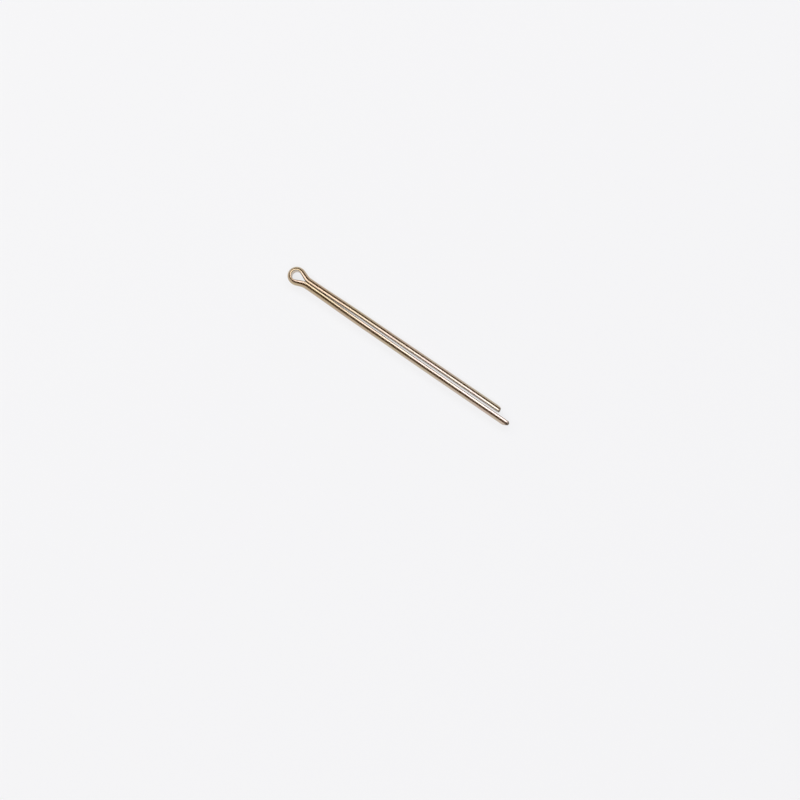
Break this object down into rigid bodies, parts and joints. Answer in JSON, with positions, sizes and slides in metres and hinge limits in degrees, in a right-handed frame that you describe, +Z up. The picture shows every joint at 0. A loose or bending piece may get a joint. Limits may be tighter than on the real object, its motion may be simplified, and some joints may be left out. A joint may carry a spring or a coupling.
{
  "type": "brake pad retaining pin",
  "caption": "Split pin folded from half-round wire: a small eye, a round two-leg shank and legs of unequal length, to hold disc brake pads in a caliper.",
  "frame": {"origin": "on the shank's axis, where the shank becomes round under the eye", "axes": "+X along the shank to the tips, +Y to the side of the short leg, +Z up with the pin lying on its side and the eye flat"},
  "size_m": [0.0812, 0.0056, 0.0036],
  "materials": {
    "zinc_plate": "bright steel wire, zinc plated and passivated pale yellow"
  },
  "bodies": {
    "root": {"split_pin": "zinc_plate"}
  },
  "joints": []
}
